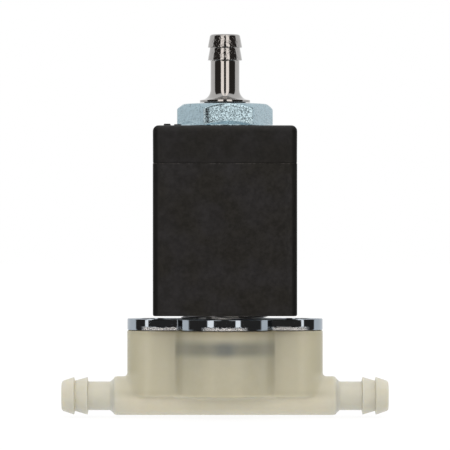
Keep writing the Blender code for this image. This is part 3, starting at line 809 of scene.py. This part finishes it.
def eared_outline(spacing):
    """Evenly spaced points round the plan of the plate: a disc with a rounded ear on each side."""
    seam = math.degrees(math.asin((EAR_R + 0.05) / BOSS_R))
    centre = EAR_REACH - EAR_R
    corners = arc((centre, 0), EAR_R, -90, 90, 60)
    corners += arc((0, 0), BOSS_R, seam, 180 - seam, 90)
    corners += arc((-centre, 0), EAR_R, 90, 270, 60)
    corners += arc((0, 0), BOSS_R, 180 + seam, 360 - seam, 90)
    path = np.array(corners + corners[:1])
    run = np.concatenate([[0], np.cumsum(np.linalg.norm(np.diff(path, axis=0), axis=1))])
    even = np.arange(0, run[-1] - spacing / 2, spacing)
    return np.stack([np.interp(even, run, path[:, axis]) for axis in (0, 1)], axis=1)


def make_plate():
    """Its edge is cut smooth at the top and torn over the lowest part, as a punch leaves it."""
    low, high = PLATE_LOW[2], PLATE_HIGH[2]
    outline = eared_outline(PLATE_STEP)
    along = np.roll(outline, -1, axis=0) - np.roll(outline, 1, axis=0)
    outward = np.stack([along[:, 1], -along[:, 0]], axis=1)
    outward /= np.linalg.norm(outward, axis=1)[:, None]
    across = np.abs(outline[:, 0])
    waves = (np.sin(outline[:, 0] * 2.3) + np.sin(outline[:, 0] * 6.1 + 1) * 0.8) * 0.09
    ears = np.clip((across - 10.2) / 0.4, 0, 1) * np.clip((18.6 - across), 0, 1)
    torn = np.clip((5.2 - across) / 1.2, 0, 1) + ears
    torn_top = low + PLATE_FOOT + torn * (TORN_HEIGHT + waves)
    chance = np.random.default_rng(7)

    def level_ring(inset, level):
        levels = np.broadcast_to(level, len(outline))
        return [(x, y, z) for (x, y), z in zip(outline - outward * inset, levels)]

    rings = [level_ring(PLATE_FOOT, low), level_ring(PLATE_INSET, low + 0.04)]
    for share in np.linspace(0.1, 0.94, 6):
        rough = chance.uniform(-TORN_ROUGHNESS, TORN_ROUGHNESS, len(outline)) * torn
        rings.append(level_ring((PLATE_INSET + rough)[:, None], low + (torn_top - low) * share))
    for level in (torn_top + 0.04, torn_top + 0.08, high - PLATE_EDGE_R - 0.03):
        rings.append(level_ring(0, level))
    for turn in np.linspace(0, math.pi / 2, 6):
        inset, drop = PLATE_EDGE_R * (1 - math.cos(turn)), PLATE_EDGE_R * (1 - math.sin(turn))
        rings.append(level_ring(inset, high - drop))
    plate = loft("punched_plate", rings, sharp=50)

    hole = TUBE_R + 0.15
    cutters = [lathe("bore", [(0, low - 1), (0, high + 1), (hole, high + 1), (hole, low - 1)])]
    for side in (-1, 1):
        sink = [(0, low - 1), (0, high + 1), (3.1, high + 1), (3.0, high - 0.2)]
        sink += [(SCREW_R + 0.15, high - SCREW_HEAD_DEPTH), (SCREW_R + 0.15, low - 1)]
        cutters.append(lathe("sink", sink, steps=SMALL_LATHE, at=(side * FASTENER_X, 0, 0), rounding=0.02))
    smooth(combined(plate, cutters, "DIFFERENCE"), 50)
    finished(plate, BRIGHT, "base", "plate_steel", "flange_plate")


def make_screws():
    """Countersunk screws with a cross slot, each turned to where it happened to stop."""
    foot, top = SCREW_LOW[2], SCREW_HIGH[2]
    profile = [(0, top - 0.25), (0.6, top - 0.25), (1.1, top), (SCREW_HEAD_R - 0.05, top)]
    profile += [(SCREW_HEAD_R, top - 0.2), (SCREW_R, top - SCREW_HEAD_DEPTH)]
    for thread in np.arange(top - 3.0, foot + 0.6, -THREAD_PITCH):
        profile += [(SCREW_R, thread), (SCREW_R - SCREW_THREAD_DEPTH, thread - 0.25)]
    profile += [(1.0, foot), (0, foot)]
    for side, name in ((-1, "left"), (1, "right")):
        place = (side * FASTENER_X, 0, 0)
        screw = lathe("plate_screw_" + name, profile, steps=SMALL_LATHE, at=place, rounding=0.06)
        slots = []
        for turn in (20, 110):
            slot = block("slot", (-1.9, -0.3, top - 1.1), (1.9, 0.3, top + 1))
            slot.rotation_euler = (0, 0, math.radians(turn + 25 * side))
            slot.location = (side * FASTENER_X * MM, 0, 0)
            slots.append(slot)
        smooth(combined(screw, slots, "DIFFERENCE"))
        finished(screw, ZINC, "base", "zinc_steel", "flange_screw_" + name)


# ---- coil


def square_ring(half, low, high, inset, place, along="Z", wide=2.2, deep=1.0):
    """A rectangle at one height, or standing at one depth. Its corners are quarters of an ellipse."""
    ring = []
    for across, up, start in ((1, 1, 0), (-1, 1, 90), (-1, -1, 180), (1, -1, 270)):
        a, b = max(wide - inset, 0.2), max(deep - inset, 0.1)
        centre = (across * (half - inset - a), (high - inset - b) if up > 0 else (low + inset + b))
        turns = np.radians(np.linspace(start, start + 90, 9))
        corner = [(centre[0] + a * math.cos(turn), centre[1] + b * math.sin(turn)) for turn in turns]
        for end, turn, way in ((corner[0], turns[0], -EDGE_GUARD), (corner[-1], turns[-1], EDGE_GUARD)):
            guard = (end[0] - way * math.sin(turn), end[1] + way * math.cos(turn))
            corner.insert(0 if way < 0 else len(corner), guard)
        ring += corner
    if along == "Z":
        return [(x, y, place) for x, y in ring]
    return [(x, place, z) for x, z in ring]


def edge_steps(radius, start, way):
    """(inset, place) down a rounded edge that begins at start and runs the given way."""
    turns = np.linspace(0, math.pi / 2, 8)
    steps = [(radius * (1 - math.sin(t)), start + way * radius * (1 - math.cos(t))) for t in turns]
    return [(radius * 1.1, start), *steps, (0, start + way * radius * 1.1)]


def coil_cutters():
    """The pocket for the windings, the holes for the tube and the plug's screw, and the blades' slots."""
    low, high = COIL_LOW[2], COIL_HIGH[2]
    past = PLUG_BACK + 2
    side = COIL_POCKET_HALF
    tube = [(0, high - 4), (0, high + 2), (COIL_BORE_R, high + 2), (COIL_BORE_R, high - 4)]
    insert = [(0, INSERT_FLOOR), (0, past), (INSERT_R, past), (INSERT_R, INSERT_FLOOR)]
    cutters = [
        block("pocket", (-side, -side, low - 2), (side, side, high - COIL_ROOF)),
        lathe("bore", tube, steps=FINE_LATHE, rounding=0.01),
        lathe("insert", insert, "Y", 32, (0, 0, COIL_MIDDLE), 0.01),
    ]
    for node in BLADES:
        blade_low, blade_high = box_mm(node)
        slot_low = [value - BLADE_GAP for value in blade_low]
        slot_high = (blade_high[0] + BLADE_GAP, past, blade_high[2] + BLADE_GAP)
        cutters.append(block("blade_slot", slot_low, slot_high))
    return cutters


def make_coil():
    """The block with its seam, the plug's base with a groove round it, and two gate marks on top."""
    high, seam = COIL_HIGH[2], COIL_SEAM
    steps = edge_steps(COIL_FOOT_R, COIL_LOW[2], 1)
    steps += [(0, seam - 0.12), (0.02, seam - 0.1), (SEAM_DEPTH, seam - 0.05), (SEAM_DEPTH, seam + 0.05)]
    steps += [(0.03, seam + 0.1)]
    steps += list(reversed(edge_steps(COIL_TOP_R, high, -1)))
    rings = [square_ring(COIL_HALF, COIL_FRONT, COIL_BACK, inset, z) for inset, z in steps]
    case = loft("coil_moulding", rings)

    back = COIL_BACK
    steps = [(0, back - 2), (0, back + 3), (PLUG_GROOVE, back + 3.1), (PLUG_GROOVE, back + 3.6)]
    steps.append((0, back + 3.7))
    steps += list(reversed(edge_steps(PLUG_EDGE_R, PLUG_BACK, -1)))
    bottom, top = COIL_MIDDLE - PLUG_HALF, COIL_MIDDLE + PLUG_HALF
    rings = [square_ring(PLUG_HALF, bottom, top, inset, y, "Y", 1.2, 1.2) for inset, y in steps]
    marks = []
    for x, radius, height in GATE_MARKS:
        profile = [(0, high - 0.5), (0, high + height), (radius * 0.8, high + height), (radius, high - 0.5)]
        marks.append(lathe("gate", profile, steps=HOLE_LATHE, at=(x, GATE_Y, 0), rounding=0.08))
    combined(case, [loft("plug_base", rings), *marks], "UNION")
    smooth(combined(case, coil_cutters(), "DIFFERENCE"), 30)
    finished(case, BLACK, "coil", "coil_plastic", "coil_case")


def make_blades():
    """Flat blades with a tapered tip and a hole."""
    for node in BLADES:
        low, high = box_mm(node)
        upright = high[0] - low[0] < 2
        centre = ((low[0] + high[0]) / 2, (low[2] + high[2]) / 2)
        rings = []
        for inset, y in [(0, low[1]), (0, high[1] - 1.6), (0.5, high[1] - 0.4), (0.75, high[1])]:
            wide, thin, edge = BLADE_HALF_W - inset, BLADE_HALF_T - inset * 0.3, BLADE_EDGE
            outline = [(wide, thin - edge), (wide - edge, thin), (edge - wide, thin), (-wide, thin - edge)]
            outline += [(-across, -up) for across, up in outline]
            if upright:
                rings.append([(centre[0] + t, y, centre[1] + w) for w, t in outline])
            else:
                rings.append([(centre[0] + w, y, centre[1] + t) for w, t in outline])
        blade = loft(node + "_blade", rings)
        hole = [(0, -3), (0, 3), (BLADE_HOLE_R, 3), (BLADE_HOLE_R, -3)]
        place = (centre[0], high[1] - BLADE_HOLE_INSET, centre[1])
        drill = lathe("drill", hole, "X" if upright else "Z", HOLE_LATHE, place, 0.01)
        smooth(combined(blade, [drill], "DIFFERENCE"), 30)
        finished(blade, TINNED, "coil", "tin", node)


# ---- nut and exhaust fitting


def make_nut():
    """Flats, corner chamfers and a cone at the foot, as one radius that changes with angle and height."""
    low, high = NUT_LOW[2], NUT_HIGH[2]
    half = [0, 0.4, 0.8, 1.3, 2, 3, 4, 6, 8, 14, 22]
    steps = np.array(half + [30] + [60 - step for step in reversed(half[1:])])
    degrees = np.concatenate([side * 60 + steps for side in range(6)])
    off_flat = np.radians(steps - 30)
    flats = np.tile(NUT_FLAT / np.cos(off_flat), 6)
    turned = np.radians(degrees + NUT_TURN)

    def ring(height, inset=0.0):
        corner = merged(flats, np.full_like(flats, NUT_CORNER + 0.09), 0.5)
        chamfer = np.full_like(corner, NUT_FLAT + 1.3 * (high - height))
        side = merged(corner, chamfer, 0.35)
        foot = np.full_like(side, NUT_FOOT_R - 1.35 * max(height - low - 0.15, 0))
        radius = -merged(-side, -foot, 0.1) - inset
        return [(r * math.cos(t), r * math.sin(t), height) for r, t in zip(radius, turned)]

    spans = ((0.06, 0.3, 4), (0.4, 1.6, 13), (2, 2.9, 3), (3.1, high - low - 0.06, 18))
    heights = np.concatenate([np.linspace(*span) for span in spans])
    rings = [ring(low, 0.06)]
    rings += [ring(low + height) for height in heights]
    rings.append(ring(high, 0.1))
    bore = NUT_BORE_R
    for radius, height in ((6.75, high), (bore, high - NUT_BORE_CHAMFER), (bore, low + 0.5), (6.6, low)):
        rings.append([(radius * math.cos(t), radius * math.sin(t), height) for t in turned])
    nut = loft("hex_nut", rings, wrap=True)
    finished(nut, ZINC, "base", "zinc_steel", "coil_nut")


def make_fitting():
    low, high = TOP_LOW[2], TOP_HIGH[2]
    base = NUT_HIGH[2] + GASKET
    flange_top = base + FITTING_FLANGE
    stem = FITTING_THREAD_R
    root = stem - FITTING_THREAD_DEPTH
    profile = [(FITTING_BORE_R, high), (FITTING_TIP_R - 0.25, high), (FITTING_TIP_R, high - 0.25)]
    for rim, neck in zip(FITTING_RIMS_Z, (FITTING_TIP_R, FITTING_SHAFT_R)):
        profile += [(FITTING_RIM_R, rim + 0.14), (FITTING_RIM_R, rim), (neck, rim - 0.14)]
    centre = (FITTING_SHAFT_R + FITTING_FILLET_R, flange_top + FITTING_FILLET_R)
    profile += arc(centre, FITTING_FILLET_R, 180, 266, 12)
    profile += [(FITTING_FLANGE_R, flange_top), (FITTING_FLANGE_R, base), (stem, base)]
    for thread in np.arange(base - 0.6, low + 0.5, -THREAD_PITCH):
        profile += [(stem, thread), (root, thread - 0.25)]
    profile += [(root, low), (FITTING_BORE_R, low)]
    fitting = lathe("exhaust_fitting", profile, rounding=0.1)
    finished(fitting, NICKEL, "base", "nickel", "exhaust_hose_barb")


# ---- inner pieces


def wound(name, coil_r, wire_r, low, high, turns, closed=0.75, per_turn=40, around=12):
    """A compression spring as a mesh, with its end turns wound flat."""
    rise = 2.1 * wire_r
    bottom, top = low + wire_r, high - wire_r
    rings = []
    count = int(turns * per_turn)
    for index in range(count + 1):
        turn = index / per_turn
        if turn < closed:
            z = bottom + rise * turn / closed
        elif turn > turns - closed:
            z = top - rise * (turns - turn) / closed
        else:
            z = bottom + rise + (top - bottom - 2 * rise) * (turn - closed) / (turns - 2 * closed)
        angle = 2 * math.pi * turn
        ring = []
        for step in range(around):
            t = 2 * math.pi * step / around
            r = coil_r + wire_r * math.cos(t)
            ring.append((r * math.cos(angle), r * math.sin(angle), z + wire_r * math.sin(t)))
        rings.append(ring)
    return loft(name, rings)


def make_springs():
    low, high = SPRING_LOW[2], SPRING_HIGH[2]
    spring = wound("plunger_spring", PLUNGER_SPRING_R, PLUNGER_WIRE_R, low, high, PLUNGER_TURNS)
    finished(spring, SPRING, "base", "spring_steel", "return_spring")
    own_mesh(spring)

    low, high = SEAL_SPRING_LOW[2], SEAL_SPRING_HIGH[2]
    spring = wound("seal_spring", SEAL_SPRING_R, SEAL_WIRE_R, low, high, SEAL_TURNS)
    finished(spring, SPRING, "armature", "spring_steel", "upper_seal_spring")
    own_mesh(spring)


def make_washer():
    inner, outer, half = TUBE_R + 0.35, WASHER_OUTER_R, WASHER_THICKNESS / 2
    middle = (WASHER_LOW[2] + WASHER_HIGH[2]) / 2
    swing = (WASHER_HIGH[2] - WASHER_LOW[2] - WASHER_THICKNESS) / 2
    section = softened([(outer, half), (outer, -half), (inner, -half), (inner, half)], 0.06)
    rings = []
    for step in range(ROUND):
        angle = 2 * math.pi * step / ROUND
        lift = middle + swing * math.cos(WASHER_WAVES * angle)
        rings.append([(r * math.cos(angle), r * math.sin(angle), lift + dz) for r, dz in section])
    washer = loft("wave_washer", rings, wrap=True)
    finished(washer, WAVED, "base", "spring_steel", "coil_spring_washer")


def make_seals():
    """The ring that shows through the moulded body."""
    low, high = box_mm("body_o_ring")
    section = arc((high[0] - O_RING_R, (low[2] + high[2]) / 2), O_RING_R, 0, 345, 23)
    ring = lathe("seal_ring", section, rounding=0.02)
    finished(ring, RUBBER, "base", "seal_rubber", "body_o_ring")


CARRIED = {
    "guide_tube": STAINLESS,
    "fixed_core": STAINLESS,
    "plunger": STAINLESS,
    "shading_ring": COPPER,
    "exhaust_gasket": RUBBER,
    "lower_seat_seal": RUBBER,
    "upper_seat_seal": RUBBER,
    "coil_bobbin": NYLON,
    "coil_winding": WINDING,
    "yoke_frame": YOKE,
    "yoke_plate": YOKE,
    "plug_screw_insert": BRASS,
}


def dress_carried_nodes():
    for name, material in CARRIED.items():
        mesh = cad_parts[name].data
        mesh.materials.clear()
        mesh.materials.append(material)


# ---- stage


def make_floor():
    """A white floor that glows a little. Mirrors don't show it, and it is clear from below."""
    bm = bmesh.new()
    bmesh.ops.create_grid(bm, x_segments=1, y_segments=1, size=3.0)
    floor = meshed("floor", bm)
    floor.location = (0, 0, -0.0005)
    material = bpy.data.materials.new("pale_floor")
    material.use_nodes = True
    tree = material.node_tree
    tree.nodes.clear()
    path = add(tree, "LightPath").outputs
    paint = add(tree, "BsdfDiffuse", {"Color": (0.9, 0.9, 0.9, 1)})
    strength = blend_value(tree, path["Is Camera Ray"], 0.72, 1.06)
    glow = add(tree, "Emission", {"Color": (1, 1, 1, 1), "Strength": strength})
    lit = add(tree, "MixShader", {0: 0.82, 1: paint.outputs[0], 2: glow.outputs[0]})
    clear = add(tree, "BsdfTransparent")
    below = add(tree, "NewGeometry").outputs["Backfacing"]
    gone = maths(tree, "MAXIMUM", path["Is Glossy Ray"], below)
    mix = add(tree, "MixShader", {0: gone, 1: lit.outputs[0], 2: clear.outputs[0]})
    add(tree, "OutputMaterial", {0: mix.outputs[0]})
    floor.data.materials.append(material)


def make_light():
    """A white studio: a lit backdrop behind, and two tall soft boxes either side of the camera."""
    world = bpy.data.worlds.new("studio")
    bpy.context.scene.world = world
    world.use_nodes = True
    tree = world.node_tree
    tree.nodes.clear()
    x, y, z = add(tree, "SeparateXYZ", {0: add(tree, "TexCoord").outputs["Generated"]}).outputs
    degrees = 180 / math.pi
    around = maths(tree, "ARCTAN2", x, product(tree, y, -1.0))
    turn = product(tree, maths(tree, "ABSOLUTE", around), degrees)
    climb = product(tree, maths(tree, "ARCSINE", z), degrees)
    # Edges of the boxes, in degrees to each side. Below the horizon they stand further out.
    under = ramp(tree, climb, 0.9, -0.4)
    right = product(tree, under, ramp(tree, x, -0.02, 0.02))
    start = total(tree, 8.5, product(tree, under, 15.5), product(tree, right, -1.5))
    end = total(tree, 32.0, product(tree, under, 5.5), product(tree, right, -4.5))
    inner = ramp(tree, maths(tree, "SUBTRACT", turn, start), -1.0, 1.0)
    boxes = product(tree, inner, ramp(tree, maths(tree, "SUBTRACT", turn, end), 1.5, -1.5))
    backdrop = ramp(tree, total(tree, turn, product(tree, under, 5.0)), 86.0, 92.0)
    overhead = ramp(tree, climb, 42.0, 56.0)
    behind_or_over = maths(tree, "MAXIMUM", backdrop, overhead)
    shine = maths(tree, "MAXIMUM", product(tree, boxes, 2.0), behind_or_over)
    shine = total(tree, 0.045, product(tree, shine, 0.955))
    front = ramp(tree, turn, 55.0, 15.0)
    fill = total(tree, 0.48, product(tree, front, 1.05), product(tree, behind_or_over, 0.55))
    path = add(tree, "LightPath").outputs
    seen = blend_value(tree, path["Is Glossy Ray"], fill, shine)
    seen = blend_value(tree, path["Is Camera Ray"], seen, 1.0)
    tint = blend_colour(tree, ramp(tree, seen, 0.0, 0.4), (1.0, 0.88, 0.8, 1), (1, 1, 1, 1))
    tint = blend_colour(tree, boxes, tint, (1.0, 0.94, 0.895, 1))
    back = add(tree, "Background", {"Color": tint, "Strength": seen})
    add(tree, "OutputWorld", {0: back.outputs[0]})


def make_camera():
    """Square on to the front, level, a little above the plate."""
    data = bpy.data.cameras.new("camera")
    camera = new_object("camera", data)
    distance, view_width, height = 780.0, 96.5, 40.7
    camera.location = (0, -distance * MM, height * MM)
    camera.rotation_euler = (math.pi / 2, 0, 0)
    data.sensor_width = 36.0
    data.lens = data.sensor_width * distance / view_width
    data.clip_start = 0.01
    bpy.context.scene.camera = camera
    bpy.context.scene.view_settings.view_transform = "Standard"


make_camera()
make_body()
make_plate()
make_screws()
make_coil()
make_blades()
make_nut()
make_fitting()
make_springs()
make_washer()
make_seals()
dress_carried_nodes()
make_floor()
make_light()

bpy.context.view_layer.update()
